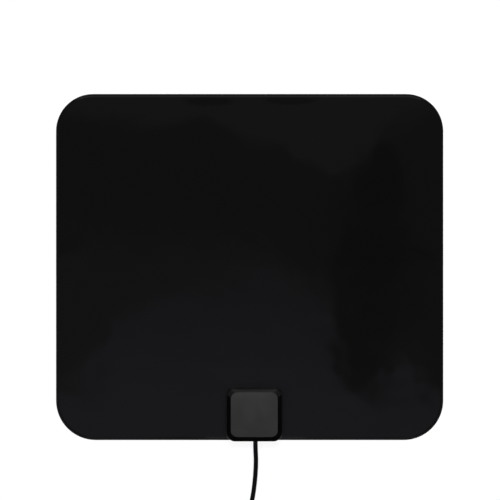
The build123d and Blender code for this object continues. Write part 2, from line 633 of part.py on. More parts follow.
left_foil, right_foil = foil_elements()
NODES = {
    "rear_sheet": rear_sheet([left_foil, right_foil]),
    "front_sheet": front_sheet(),
    "left_foil_element": left_foil,
    "right_foil_element": right_foil,
    "housing_front_cover": housing_front_cover(),
    "housing_rear_cover": housing_rear_cover(),
    "adhesive_gasket": adhesive_gasket(),
    "housing_screws": Compound([housing_screw(x) for x in SCREW_X]),
    "circuit_board": circuit_board(),
    "left_contact": feed_contact(CONTACT_X[0]),
    "right_contact": feed_contact(CONTACT_X[1]),
    "balun_core": balun_core(),
    "balun_windings": Compound([balun_winding(end) for end in (1, -1)]),
    "chip_capacitors": Compound([chip_capacitor(side) for side in (-1, 1)]),
    "strain_relief_tie": strain_relief_tie(),
    "cable_end": rod(CABLE_DIAMETER, (CABLE_X, INNER_WALL, CABLE_LEVEL), (CABLE_X, STRIP_Y, CABLE_LEVEL)),
    "coax_braid": coax_braid(),
    "coax_dielectric": coax_dielectric(),
    "coax_conductor": coax_conductor(),
    "cable_lead": cable_tube("cable_lead", LEAD_ROUTE),
    "cable_coil": cable_coil(),
    "coil_tie": coil_tie(),
    "cable_tail": cable_tube("cable_tail", TAIL_ROUTE),
    "plug_grip": plug_grip(),
    "plug_shell": plug_shell(),
    "plug_insulator": plug_insulator(),
    "plug_pin": plug_pin(),
}

os.makedirs("parts", exist_ok=True)
for name, shape in NODES.items():
    export_step(shape, f"parts/{name}.step")
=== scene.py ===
import math

import bmesh
import bpy
from bpy.props import FloatProperty, FloatVectorProperty, IntProperty, PointerProperty
from mathutils import Matrix, Vector, noise
from mathutils.geometry import convex_hull_2d


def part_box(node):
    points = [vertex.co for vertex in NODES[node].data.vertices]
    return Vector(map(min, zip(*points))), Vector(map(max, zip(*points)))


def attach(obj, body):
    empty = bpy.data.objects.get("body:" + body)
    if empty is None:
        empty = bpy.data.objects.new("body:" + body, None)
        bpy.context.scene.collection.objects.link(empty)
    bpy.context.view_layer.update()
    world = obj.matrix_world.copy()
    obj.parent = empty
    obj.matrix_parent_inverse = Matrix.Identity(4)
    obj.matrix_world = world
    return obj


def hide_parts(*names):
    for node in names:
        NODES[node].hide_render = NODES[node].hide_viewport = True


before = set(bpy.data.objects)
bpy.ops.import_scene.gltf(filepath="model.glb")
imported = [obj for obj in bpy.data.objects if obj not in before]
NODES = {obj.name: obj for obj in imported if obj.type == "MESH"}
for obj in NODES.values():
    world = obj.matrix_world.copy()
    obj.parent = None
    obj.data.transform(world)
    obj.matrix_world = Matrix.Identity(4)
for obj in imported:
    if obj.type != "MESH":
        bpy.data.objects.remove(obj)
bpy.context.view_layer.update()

bl_info = {
    "name": "Flat Indoor Antenna",
    "version": (1, 0, 0),
    "blender": (4, 5, 0),
    "location": "View3D > Sidebar > Antenna",
    "description": "Dresses a flat indoor aerial with its film, housing, lead and plug",
    "category": "Object",
}

BODY = "root"

FILM_LOW, FILM_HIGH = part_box("front_sheet")
COVER_LOW, COVER_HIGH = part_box("housing_front_cover")
COIL_LOW, COIL_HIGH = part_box("cable_coil")
STRAP_LOW, STRAP_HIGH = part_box("coil_tie")
JACKET_LOW, JACKET_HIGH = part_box("cable_end")
CABLE_DIAMETER = JACKET_HIGH.x - JACKET_LOW.x
COIL_CENTRE = (COIL_LOW + COIL_HIGH) / 2

# Route of the lead from the housing to the coil, and of the tail from the coil to the plug, in metres
LEAD_ROUTE = [
    (0.0035, -0.1038, 0.00435),
    (0.0035, -0.1095, 0.00435),
    (0.00395, -0.1175, 0.0036),
    (0.0033, -0.1290, 0.0019),
    (0.0016, -0.1416, 0.0014),
    (-0.0016, -0.1520, 0.0014),
    (-0.00365, -0.1604, 0.0020),
    (-0.00365, -0.1680, 0.0019),
]
TAIL_ROUTE = [
    (-0.0357, -0.20005, 0.0102),
    (-0.0447, -0.20005, 0.0100),
    (-0.0542, -0.1986, 0.00575),
    (-0.0632, -0.1986, 0.00575),
]

# Distances at which corners of a mesh count as one and as level, and turn at which its faces count as flat
WELD = 0.0000005
NEAR = 20 * WELD
FLAT_TURN = math.radians(0.5)

# Upward part of the normal of level faces, of nearly level ones and of the housing's bevels
LEVEL_SLOPE = 0.999
GENTLE_SLOPE = 0.9
BEVEL_SLOPES = (0.8, 0.84)

# Shares of the way up a bevel at which it is cut
BEVEL_CUTS = (0.25, 0.5, 0.75)

# The film's waves at three scales: share of their height, share of their length
WAVES = ((1.0, 1.0), (0.4, 0.45), (0.25, 0.2))

# Places along the upper edge where the film curls up: distance from the middle, share of the height
CURLS = ((-0.025, 0.5), (0.027, 1.0))

# Places across the coil's strap at which its crowned side has corners, as shares of half its width
STRAP_SHARES = (1.0, 0.86, 0.5, 0.0, -0.5, -0.86, -1.0)

# Degrees between the points of a turn that the strap is laid round
SPOKE_STEP = 15

# Phase of a wave texture over one unit at a scale of one, in radians
WAVE_BANDS = 20.0

# Depth of the fine peel of polished plastic, and roughness of smears as a share of the clean film's
PEEL_DEPTH = 0.0000004
SMEAR_SHARE = 2.2

# Heights in the room, as the upward part of a direction, where the white horizon fades and the ceiling begins
HORIZON = (0.04, 0.12)
CEILING = (0.7, 0.95)
WHITE = (1.0, 1.0, 1.0)

# The camera's sensor in millimetres and the end of its view in metres
SENSOR_WIDTH = 36.0
VIEW_END = 50.0
MILLIMETRES = 1000

FILM_PIECE = "front_film"
STRAP_PIECE = "coil_strap"


def colour_property(name, description, default):
    return FloatVectorProperty(
        name=name, description=description, default=default, size=3, subtype="COLOR", min=0.0, max=1.0
    )


def length_property(name, description, default):
    return FloatProperty(name=name, description=description, default=default, unit="LENGTH", precision=6)


def share_property(name, description, default):
    return FloatProperty(
        name=name, description=description, default=default, min=0.0, max=1.0, subtype="FACTOR"
    )


def power_property(name, description, default):
    return FloatProperty(name=name, description=description, default=default, unit="POWER")


def place_property(name, description, default):
    return FloatVectorProperty(
        name=name, description=description, default=default, size=3, subtype="XYZ", unit="LENGTH"
    )


class SheetSettings(bpy.types.PropertyGroup):
    film_colour: colour_property("Film colour", "Black of the laminated film", (0.0034, 0.0034, 0.0036))
    dust_colour: colour_property("Dust colour", "Fine dust on the film", (0.03, 0.03, 0.03))
    film_roughness: share_property("Film roughness", "Gloss of the clean film", 0.05)
    grid_step: length_property("Grid step", "Spacing of the film's own mesh", 0.002)
    ripple_height: length_property("Ripple height", "Height of the film's gentle waves", 0.00006)
    ripple_length: length_property("Ripple length", "Distance between the film's waves", 0.045)
    ripple_lift: FloatProperty(name="Ripple lift", description="Mean of the waves, in heights", default=1.5)
    dent_height: length_property("Dent height", "Height of the small dents at half height", 0.0002)
    dent_length: length_property("Dent length", "Reach of the dents from the side edges", 0.012)
    dent_breadth: length_property("Dent breadth", "Breadth of the dents", 0.006)
    dent_offset: length_property("Dent offset", "Distance of the dents above half height", 0.005)
    dent_lean: share_property("Dent lean", "Rise of the dents for their reach inward", 0.3)
    curl_height: length_property("Curl height", "Rise of the upper edge where it curls most", 0.0002)
    curl_length: length_property("Curl length", "Half the length of a curl along the edge", 0.0185)
    curl_foot: length_property("Curl foot", "Distance from the edge at which a curl begins", 0.006)
    curl_top: length_property("Curl top", "Distance from the edge at which a curl ends", 0.002)
    flat_margin: length_property("Flat margin", "Strip round the housing where the film is flat", 0.001)
    flat_fade: length_property("Flat fade", "Distance in which the waves begin beyond it", 0.012)


class FoilSettings(bpy.types.PropertyGroup):
    foil_colour: colour_property("Foil colour", "Rolled aluminium between the films", (0.78, 0.78, 0.79))


class HousingSettings(bpy.types.PropertyGroup):
    face_colour: colour_property("Face colour", "Charcoal of the textured face", (0.010, 0.010, 0.0106))
    bevel_colour: colour_property("Bevel colour", "Black of the polished bevels", (0.0004, 0.0004, 0.0005))
    tray_colour: colour_property("Tray colour", "Black of the rear tray", (0.012, 0.012, 0.012))
    screw_colour: colour_property("Screw colour", "Zinc plate of the screws", (0.56, 0.57, 0.59))
    gasket_colour: colour_property("Gasket colour", "Pale adhesive film", (0.74, 0.71, 0.61))
    face_crown: length_property("Face crown", "Rise of the gently domed face", 0.0005)
    face_inset: length_property("Face inset", "Distance that the face's edge is set in", 0.0004)
    face_corner: length_property("Face corner", "Radius of the face's corners", 0.004)
    edge_height: length_property("Edge height", "Height of the rounded edge of the face", 0.0001)
    bevel_bulge: length_property("Bevel bulge", "Rise of the bevels half-way up", 0.00006)
    face_step: length_property("Face step", "Spacing of the domed face's mesh", 0.0015)


class CircuitSettings(bpy.types.PropertyGroup):
    mask_colour: colour_property("Solder mask", "Green of the circuit board", (0.02, 0.14, 0.055))
    track_colour: colour_property("Copper areas", "Copper under the solder mask", (0.05, 0.24, 0.09))
    brass_colour: colour_property("Contacts", "Brass of the feed contacts", (0.80, 0.60, 0.25))
    ferrite_colour: colour_property("Core", "Ferrite of the balun core", (0.055, 0.055, 0.06))
    enamel_colour: colour_property("Windings", "Enamelled copper wire", (0.60, 0.20, 0.07))
    chip_colour: colour_property("Chips", "Ceramic of the chip capacitors", (0.52, 0.38, 0.24))
    tinned_colour: colour_property("Tinned ends", "Tinned metal of chips and braid", (0.72, 0.70, 0.66))
    insulation_colour: colour_property("Insulation", "Milky inner insulation of the lead", (0.84, 0.84, 0.81))


class CableSettings(bpy.types.PropertyGroup):
    jacket_colour: colour_property("Jacket colour", "Black of the lead's jacket", (0.0016, 0.0016, 0.0017))
    diameter: length_property("Diameter", "Diameter of the lead", CABLE_DIAMETER)
    length: length_property("Length", "Length of the lead from the housing to its plug", 1.5)
    coil_outer: length_property("Outer turns", "Radius of the coil's outer turns", 0.02035)
    coil_inner: length_property("Inner turns", "Radius of the coil's inner turns", 0.01125)
    layers: IntProperty(name="Layers", description="Layers of turns in the coil", default=4, min=1)
    layer_turns: FloatProperty(name="Turns in a layer", description="Between the radii", default=3.2, min=1.0)
    climb_turns: FloatProperty(
        name="Turns in a climb", description="Share of a turn to the next layer", default=1.45 / 3, min=0.1
    )
    points_per_turn: IntProperty(name="Points in a turn", description="Control points", default=16, min=12)


class TieSettings(bpy.types.PropertyGroup):
    strap_colour: colour_property("Strap colour", "Black nylon of both ties", (0.012, 0.012, 0.012))
    strap_width: length_property("Strap width", "Width of the coil's strap", 0.0042)
    strap_thickness: length_property("Strap thickness", "Thickness of the coil's strap", 0.00045)
    strap_crown: share_property("Strap crown", "Share of its thickness that the edges lose", 0.25)
    strap_gap: length_property("Strap gap", "Distance between the strap and the turns", 0.00005)
    buckle_width: length_property("Buckle width", "Width of the strap's buckle", 0.0055)
    buckle_depth: length_property("Buckle depth", "Depth of the strap's buckle", 0.0018)
    buckle_height: length_property("Buckle height", "Height of the strap's buckle", 0.0046)
    buckle_edge: length_property("Buckle edge", "Rounding of the buckle's edges", 0.0004)
    rib_spacing: length_property("Rib spacing", "Distance between the strap's shallow ribs", 0.0069115)


class PlugSettings(bpy.types.PropertyGroup):
    grip_colour: colour_property("Grip colour", "Black of the moulded grip", (0.012, 0.012, 0.012))
    metal_colour: colour_property("Metal colour", "Bright nickel of the sleeve and pin", (0.70, 0.69, 0.66))
    insulator_colour: colour_property("Insulator colour", "White of the plug's insulator", (0.80, 0.80, 0.77))


class StageSettings(bpy.types.PropertyGroup):
    lens: FloatProperty(name="Lens", description="Focal length", default=300.0, unit="CAMERA")
    view_width: length_property("View width", "Width that the picture takes in", 0.3035)
    view_x: length_property("View centre X", "Point below the camera", 0.00022)
    view_y: length_property("View centre Y", "Point below the camera", 0.01063)
    floor_size: length_property("Floor size", "Side of the pale floor", 12.0)
    floor_level: length_property("Floor level", "Height of the floor, just below the antenna", -0.0002)
    floor_glow: share_property("Floor glow", "White that no shadow takes", 0.88)
    floor_white: share_property("Floor white", "White that shadows darken", 0.16)
    floor_bounce: share_property("Floor bounce", "Grey that the floor throws back on the antenna", 0.6)
    key_power: power_property("Key light", "Light from the top edge", 48.0)
    key_place: place_property("Key place", "Place of the key light", (0.0, 1.24, 2.285))
    key_width: length_property("Key width", "Width of the key light", 1.6)
    key_depth: length_property("Key depth", "Depth of the key light", 0.65)
    side_power: power_property("Side lights", "Light from both sides", 14.5)
    side_place: place_property("Side place", "Place of the right-hand side light", (0.97, -0.97, 2.19))
    side_width: length_property("Side width", "Width and depth of a side light", 0.8)
    room_level: share_property("Room", "Brightness of the dim room", 0.02)
    ceiling_level: share_property("Ceiling", "Brightness of the dim ceiling", 0.045)
    near_card: length_property("Near cards", "Height of the cards with clear edges", 0.7)
    far_card: length_property("Far cards", "Height of the lowest card with soft edges", 1.4)
    card_step: length_property("Card step", "Distance between the cards with soft edges", 0.05)
    upright_card: length_property("Upright cards", "Distance of the cards that stand round", 1.6)
    upper_card: colour_property("Upper card", "Light of the card over the top edge", (0.095, 0.095, 0.095))
    middle_card: colour_property("Middle card", "Light of the card over the left half", (0.076, 0.076, 0.078))
    lower_card: colour_property("Lower card", "Light of the card over the cable side", (0.165, 0.16, 0.192))
    dark_card: colour_property("Dark card", "Light of the card over the right half", (0.034, 0.034, 0.035))
    rim_card: colour_property("Rim card", "Light of the card in the upper rim", (0.38, 0.38, 0.39))
    foot_card: colour_property("Foot card", "Light of the card in the lower rim", (0.35, 0.35, 0.36))
    side_card: colour_property("Side card", "Light of the card in the left rim", (0.09, 0.09, 0.09))
    back_card: colour_property("Back card", "Light of the card behind the top edge", (0.42, 0.42, 0.43))
    high_card: colour_property("High card", "Light of the card above the back card", (0.8, 0.8, 0.8))
    corner_card: colour_property("Corner cards", "Light of the cards beside the back card", (0.2, 0.2, 0.21))
    flank_card: colour_property("Flank cards", "Light of the high cards at both sides", (0.5, 0.5, 0.51))


class AntennaSettings(bpy.types.PropertyGroup):
    sheet: PointerProperty(type=SheetSettings)
    foil: PointerProperty(type=FoilSettings)
    housing: PointerProperty(type=HousingSettings)
    circuit: PointerProperty(type=CircuitSettings)
    cable: PointerProperty(type=CableSettings)
    tie: PointerProperty(type=TieSettings)
    plug: PointerProperty(type=PlugSettings)
    stage: PointerProperty(type=StageSettings)


# Node helpers


def node(tree, kind, **inputs):
    """A node with some of its inputs set or linked by name."""
    made = tree.nodes.new(kind)
    for name, value in inputs.items():
        feed(tree, made.inputs[name.replace("_", " ")], value)
    return made


def feed(tree, socket, value):
    """Link an output to a socket, or set the socket's own value."""
    if isinstance(value, bpy.types.NodeSocket):
        tree.links.new(value, socket)
    elif isinstance(value, (int, float)):
        socket.default_value = value
    elif len(socket.default_value) == 4:
        socket.default_value = (*value, 1.0)
    else:
        socket.default_value = value


def mixed(tree, mask, first, second):
    """A colour between two colours."""
    made = tree.nodes.new("ShaderNodeMix")
    made.data_type = "RGBA"
    feed(tree, made.inputs[0], mask)
    feed(tree, made.inputs[6], first)
    feed(tree, made.inputs[7], second)
    return made.outputs[2]


def ranged(tree, value, low, high, to_low, to_high):
    """A value moved from one range to another."""
    made = node(tree, "ShaderNodeMapRange", Value=value)
    for name, limit in (("From Min", low), ("From Max", high), ("To Min", to_low), ("To Max", to_high)):
        feed(tree, made.inputs[name], limit)
    return made.outputs[0]


def maths(tree, operation, first, second=0.0):
    """One step of arithmetic."""
    made = tree.nodes.new("ShaderNodeMath")
    made.operation = operation
    feed(tree, made.inputs[0], first)
    feed(tree, made.inputs[1], second)
    return made.outputs[0]


def object_place(tree, scale=(1.0, 1.0, 1.0)):
    """The piece's own coordinates in metres, stretched along its axes."""
    place = tree.nodes.new("ShaderNodeTexCoord")
    mapping = node(tree, "ShaderNodeMapping", Vector=place.outputs["Object"], Scale=scale)
    return mapping.outputs[0]


def new_group(name, inputs, outputs):
    """An empty shader node group with named float sockets."""
    group = bpy.data.node_groups.new(name, "ShaderNodeTree")
    for label, default in inputs:
        socket = group.interface.new_socket(name=label, in_out="INPUT", socket_type="NodeSocketFloat")
        socket.default_value = default
    for label in outputs:
        group.interface.new_socket(name=label, in_out="OUTPUT", socket_type="NodeSocketFloat")
    return group, group.nodes.new("NodeGroupInput"), group.nodes.new("NodeGroupOutput")


def moulded_grain():
    """Fine pebbled texture of moulded plastic: height, roughness and a slight shade."""
    group = bpy.data.node_groups.get("Moulded Grain")
    if group:
        return group
    inputs = [("Scale", 2500.0), ("Low Roughness", 0.4), ("High Roughness", 0.6)]
    group, source, result = new_group("Moulded Grain", inputs, ("Height", "Roughness", "Shade"))
    place = object_place(group)
    pebbles = node(group, "ShaderNodeTexVoronoi", Vector=place, Scale=source.outputs["Scale"])
    pebbles.feature = "SMOOTH_F1"
    broad = node(group, "ShaderNodeTexNoise", Vector=place, Scale=160.0, Detail=4.0)
    fine = node(group, "ShaderNodeTexNoise", Vector=place, Scale=source.outputs["Scale"], Detail=2.0)
    height = maths(group, "ADD", pebbles.outputs["Distance"], fine.outputs["Fac"])
    low, high = source.outputs["Low Roughness"], source.outputs["High Roughness"]
    roughness = ranged(group, broad.outputs["Fac"], 0.3, 0.7, low, high)
    shade = ranged(group, fine.outputs["Fac"], 0.25, 0.75, 0.0, 1.0)
    feed(group, result.inputs["Height"], height)
    feed(group, result.inputs["Roughness"], roughness)
    feed(group, result.inputs["Shade"], shade)
    return group


def handled_gloss():
    """Faint smears and dust on a polished surface."""
    group = bpy.data.node_groups.get("Handled Gloss")
    if group:
        return group
    inputs = [("Clean Roughness", 0.05), ("Smear Roughness", 0.12), ("Dust Scale", 420.0)]
    group, source, result = new_group("Handled Gloss", inputs, ("Roughness", "Dust", "Peel"))
    place = object_place(group)
    stretched = object_place(group, (14.0, 26.0, 14.0))
    smears = node(group, "ShaderNodeTexNoise", Vector=stretched, Scale=1.0, Detail=5.0)
    clean, smear = source.outputs["Clean Roughness"], source.outputs["Smear Roughness"]
    roughness = ranged(group, smears.outputs["Fac"], 0.45, 0.75, clean, smear)
    specks = node(group, "ShaderNodeTexVoronoi", Vector=place, Scale=source.outputs["Dust Scale"])
    rare = node(group, "ShaderNodeTexWhiteNoise", Vector=specks.outputs["Position"])
    near = ranged(group, specks.outputs["Distance"], 0.04, 0.09, 1.0, 0.0)
    chosen = ranged(group, rare.outputs["Value"], 0.93, 1.0, 0.0, 0.6)
    peel = node(group, "ShaderNodeTexNoise", Vector=place, Scale=650.0, Detail=2.0)
    feed(group, result.inputs["Roughness"], roughness)
    feed(group, result.inputs["Dust"], maths(group, "MULTIPLY", near, chosen))
    feed(group, result.inputs["Peel"], peel.outputs["Fac"])
    return group


def drawn_metal():
    """Fine lines left by rolling, drawing or turning along an axis."""
    group = bpy.data.node_groups.get("Drawn Metal")
    if group:
        return group
    inputs = [("Along X", 20.0), ("Along Y", 900.0), ("Along Z", 900.0)]
    inputs += [("Low Roughness", 0.2), ("High Roughness", 0.4)]
    group, source, result = new_group("Drawn Metal", inputs, ("Height", "Roughness", "Shade"))
    stretch = group.nodes.new("ShaderNodeCombineXYZ")
    for index, label in enumerate(("Along X", "Along Y", "Along Z")):
        feed(group, stretch.inputs[index], source.outputs[label])
    place = group.nodes.new("ShaderNodeTexCoord")
    scaled = node(group, "ShaderNodeMapping", Vector=place.outputs["Object"], Scale=stretch.outputs[0])
    lines = node(group, "ShaderNodeTexNoise", Vector=scaled.outputs[0], Scale=1.0, Detail=3.0)
    low, high = source.outputs["Low Roughness"], source.outputs["High Roughness"]
    feed(group, result.inputs["Height"], lines.outputs["Fac"])
    feed(group, result.inputs["Roughness"], ranged(group, lines.outputs["Fac"], 0.3, 0.7, low, high))
    feed(group, result.inputs["Shade"], ranged(group, lines.outputs["Fac"], 0.25, 0.75, 0.0, 1.0))
    return group


def placed(tree, group, **inputs):
    """A shader node group with its own values."""
    made = tree.nodes.new("ShaderNodeGroup")
    made.node_tree = group
    for name, value in inputs.items():
        feed(tree, made.inputs[name.replace("_", " ")], value)
    return made


def new_material(name):
    """A material with a Principled shader: the material, its tree and the shader."""
    material = bpy.data.materials.new(name)
    material.use_nodes = True
    tree = material.node_tree
    return material, tree, tree.nodes["Principled BSDF"]


def coated(tree, shader, colour, roughness, height, depth):
    """Feed a finish to the shader: its colour, its roughness and a height of some depth."""
    feed(tree, shader.inputs["Base Color"], colour)
    feed(tree, shader.inputs["Roughness"], roughness)
    bump = node(tree, "ShaderNodeBump", Height=height, Distance=depth, Strength=1.0)
    feed(tree, shader.inputs["Normal"], bump.outputs[0])


def toned(colour, share):
    """A colour made darker or lighter by a share."""
    return tuple(channel * share for channel in colour)


def shaded(tree, mask, colour, low, high):
    """A colour that a mask moves between two tones of itself."""
    return mixed(tree, mask, toned(colour, low), toned(colour, high))


# Finishes


def gloss_finish(name, colour, dust, rough, scale):
    """Polished black plastic with faint smears and a little dust."""
    material, tree, shader = new_material(name)
    clean, smear = rough
    gloss = placed(tree, handled_gloss(), Clean_Roughness=clean, Smear_Roughness=smear, Dust_Scale=scale)
    dusty = mixed(tree, gloss.outputs["Dust"], colour, dust)
    coated(tree, shader, dusty, gloss.outputs["Roughness"], gloss.outputs["Peel"], PEEL_DEPTH)
    return material


def film_finish(sheet):
    """Glossy black film."""
    rough = (sheet.film_roughness, sheet.film_roughness * SMEAR_SHARE)
    return gloss_finish("gloss_film", sheet.film_colour, sheet.dust_colour, rough, scale=420.0)


def polished_finish(housing):
    """Polished black plastic of the cover's bevels and walls."""
    dust = toned(housing.face_colour, share=1.5)
    return gloss_finish("housing_gloss", housing.bevel_colour, dust, rough=(0.16, 0.22), scale=700.0)


def moulded_finish(name, colour, scale, rough, depth, specular=0.5):
    """Moulded or extruded plastic with a fine grain."""
    material, tree, shader = new_material(name)
    low, high = rough
    grain = placed(tree, moulded_grain(), Scale=scale, Low_Roughness=low, High_Roughness=high)
    mottled = shaded(tree, grain.outputs["Shade"], colour, low=0.8, high=1.2)
    coated(tree, shader, mottled, grain.outputs["Roughness"], grain.outputs["Height"], depth)
    shader.inputs["Specular IOR Level"].default_value = specular
    return material


def metal_finish(name, colour, along, rough, depth):
    """Metal with the fine lines of its making."""
    material, tree, shader = new_material(name)
    x, y, z = along
    low, high = rough
    lines = placed(
        tree, drawn_metal(), Along_X=x, Along_Y=y, Along_Z=z, Low_Roughness=low, High_Roughness=high
    )
    lined = shaded(tree, lines.outputs["Shade"], colour, low=0.88, high=1.06)
    coated(tree, shader, lined, lines.outputs["Roughness"], lines.outputs["Height"], depth)
    shader.inputs["Metallic"].default_value = 1.0
    return material


def board_finish(circuit):
    """Green solder mask over raised copper areas, with a few tinned holes."""
    material, tree, shader = new_material("board_laminate")
    spread = object_place(tree, (90.0, 90.0, 90.0))
    areas = node(tree, "ShaderNodeTexBrick", Vector=spread, Scale=1.0, Mortar_Size=0.02)
    holes = node(tree, "ShaderNodeTexVoronoi", Vector=object_place(tree), Scale=560.0)
    rare = node(tree, "ShaderNodeTexWhiteNoise", Vector=holes.outputs["Position"])
    ring = ranged(tree, holes.outputs["Distance"], 0.14, 0.17, 1.0, 0.0)
    tinned = maths(tree, "MULTIPLY", ring, maths(tree, "GREATER_THAN", rare.outputs["Value"], 0.8))
    grain = placed(tree, moulded_grain(), Scale=3000.0, Low_Roughness=0.3, High_Roughness=0.45)
    laid = mixed(tree, areas.outputs["Fac"], circuit.track_colour, circuit.mask_colour)
    mottled = mixed(tree, maths(tree, "MULTIPLY", grain.outputs["Shade"], 0.25), laid, circuit.mask_colour)
    colour = mixed(tree, tinned, mottled, circuit.tinned_colour)
    raised = maths(tree, "SUBTRACT", tinned, areas.outputs["Fac"])
    coated(tree, shader, colour, grain.outputs["Roughness"], raised, depth=0.00003)
    feed(tree, shader.inputs["Metallic"], tinned)
    return material


def braid_finish(circuit):
    """Tinned braid of fine wires that cross, darkened in the gaps between them as painted shade."""
    material, tree, shader = new_material("tinned_braid")
    wires = []
    for lean in (40.0, -40.0):
        turn = (0.0, 0.0, math.radians(lean))
        turned = node(tree, "ShaderNodeMapping", Vector=object_place(tree), Rotation=turn)
        wire = node(tree, "ShaderNodeTexWave", Vector=turned.outputs[0], Scale=220.0, Distortion=0.6)
        wires.append(wire.outputs["Fac"])
    weave_and_painted_shade = maths(tree, "MAXIMUM", *wires)
    # The tin darkens to under half where the weave sinks between the wires: painted shade in the gaps.
    colour = shaded(tree, weave_and_painted_shade, circuit.tinned_colour, low=0.45, high=1.0)
    coated(tree, shader, colour, ranged(tree, weave_and_painted_shade, 0.0, 1.0, 0.55, 0.32), weave_and_painted_shade, depth=0.00006)
    shader.inputs["Metallic"].default_value = 1.0
    return material


def chip_finish(circuit):
    """Ceramic chip with a tinned cap at each end."""
    material, tree, shader = new_material("chip_ceramic")
    low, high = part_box("chip_capacitors")
    middle, half = (low.y + high.y) / 2, (high.y - low.y) / 2
    place = tree.nodes.new("ShaderNodeTexCoord")
    split = node(tree, "ShaderNodeSeparateXYZ", Vector=place.outputs["Object"])
    offset = maths(tree, "ABSOLUTE", maths(tree, "SUBTRACT", split.outputs["Y"], middle))
    cap_start, cap_full = half * 0.5, half * 0.56
    caps = ranged(tree, offset, cap_start, cap_full, 0.0, 1.0)
    grain = placed(tree, moulded_grain(), Scale=5000.0, Low_Roughness=0.35, High_Roughness=0.55)
    body = shaded(tree, grain.outputs["Shade"], circuit.chip_colour, low=0.85, high=1.1)
    colour = mixed(tree, caps, body, circuit.tinned_colour)
    coated(tree, shader, colour, grain.outputs["Roughness"], grain.outputs["Height"], depth=0.00001)
    feed(tree, shader.inputs["Metallic"], caps)
    return material


def dress(name, material):
    """Give a CAD node its finish."""
    slots = NODES[name].data.materials
    slots.clear()
    slots.append(material)


def add_piece(name, data, material):
    """A new piece of the object, with its finish, on the antenna's one body."""
    piece = bpy.data.objects.new(name, data)
    bpy.context.scene.collection.objects.link(piece)
    data.materials.append(material)
    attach(piece, BODY)
    return piece


# Pieces


def node_form(name):
    """A copy of a node's mesh, with its seams welded and its flat areas whole."""
    form = bmesh.new()
    form.from_mesh(NODES[name].data)
    bmesh.ops.remove_doubles(form, verts=form.verts, dist=WELD)
    bmesh.ops.dissolve_limit(form, angle_limit=FLAT_TURN, verts=form.verts, edges=form.edges)
    return form


def smoothed(form, limit):
    """Smooth shading, with sharp edges where the surface turns by more than a limit."""
    for face in form.faces:
        face.smooth = True
    for edge in form.edges:
        edge.smooth = len(edge.link_faces) == 2 and edge.calc_face_angle(0.0) < math.radians(limit)


def finished_mesh(name, form):
    """A mesh from a form that is done with."""
    mesh = bpy.data.meshes.new(name)
    form.to_mesh(mesh)
    form.free()
    return mesh


def cut_faces(form, chosen, point, normal):
    """Cut the chosen faces where a plane meets them."""
    faces = [face for face in form.faces if chosen(face)]
    edges = {edge for face in faces for edge in face.edges}
    corners = {corner for face in faces for corner in face.verts}
    parts = [*corners, *edges, *faces]
    bmesh.ops.bisect_plane(form, geom=parts, dist=WELD, plane_co=point, plane_no=normal)


def cut_grid(form, step, low, high, chosen):
    """Cut the chosen faces along X and Y into a grid."""
    for axis in (0, 1):
        normal = Vector((axis == 0, axis == 1, 0))
        count = math.ceil((high[axis] - low[axis]) / step)
        for index in range(1, count):
            cut_faces(form, chosen, low.lerp(high, index / count), normal)


def corners_of(form, chosen):
    """The corners of the chosen faces."""
    return {corner for face in form.faces if chosen(face) for corner in face.verts}


def limited(value):
    """A value kept between nothing and one."""
    return min(max(value, 0.0), 1.0)


def film_level(x, y, sheet):
    """Height of the film's waves, dents and curls at a place, fading out at the housing."""
    place = Vector((x, y, 0.0)) / sheet.ripple_length
    wave = sum(share * noise.noise(place / length) for share, length in WAVES)
    level = sheet.ripple_height * (sheet.ripple_lift + wave)
    middle = (FILM_LOW.y + FILM_HIGH.y) / 2 + sheet.dent_offset
    for inward in (x - FILM_LOW.x, FILM_HIGH.x - x):
        reach = inward / sheet.dent_length
        breadth = (y - middle - sheet.dent_lean * inward) / sheet.dent_breadth
        level += sheet.dent_height * math.exp(-(reach**2) - breadth**2)
    climb = limited((sheet.curl_foot - (FILM_HIGH.y - y)) / (sheet.curl_foot - sheet.curl_top))
    for centre, share in CURLS:
        arch = limited(1.0 - ((x - centre) / sheet.curl_length) ** 4)
        level += sheet.curl_height * share * arch * climb
    beside = max(COVER_LOW.x - x, x - COVER_HIGH.x, y - COVER_HIGH.y) - sheet.flat_margin
    return level * limited(beside / sheet.flat_fade)


def front_film_mesh(sheet):
    """The front film cut into a fine grid, with waves, dents and curls on its upper side."""
    film = node_form("front_sheet")

    def on_top(face):
        return face.normal.z > GENTLE_SLOPE

    cut_grid(film, sheet.grid_step, FILM_LOW, FILM_HIGH, on_top)
    for corner in corners_of(film, on_top):
        corner.co.z += film_level(corner.co.x, corner.co.y, sheet)
    film.normal_update()
    smoothed(film, limit=3.0)
    return finished_mesh(FILM_PIECE, film)


def make_sheet(settings):
    """Front film with its waves, dents and curls, and the flat back film."""
    finish = film_finish(settings.sheet)
    film = add_piece(FILM_PIECE, front_film_mesh(settings.sheet), finish)
    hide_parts("front_sheet")
    dress("rear_sheet", finish)


def make_foil(settings):
    """Rolled foil of both elements."""
    colour = settings.foil.foil_colour
    finish = metal_finish("rolled_foil", colour, (25.0, 1600.0, 100.0), rough=(0.22, 0.38), depth=0.000004)
    for name in ("left_foil_element", "right_foil_element"):
        dress(name, finish)


def rounder(place, half, old, new):
    """Where a point of a square with rounded corners goes as their radius grows."""
    inner = Vector([max(abs(place[axis]) - half[axis] + new, 0.0) for axis in (0, 1)])
    if min(inner) == 0.0:
        return place
    less, more = sorted(inner.normalized())
    growth = new - old
    reach = new / more
    if less * reach > growth:
        lean = growth * (less + more)
        reach = lean + math.sqrt(lean**2 - 2 * growth**2 + old**2)
    pull = inner * (1.0 - new / reach)
    return place - Vector((math.copysign(pull.x, place.x), math.copysign(pull.y, place.y)))


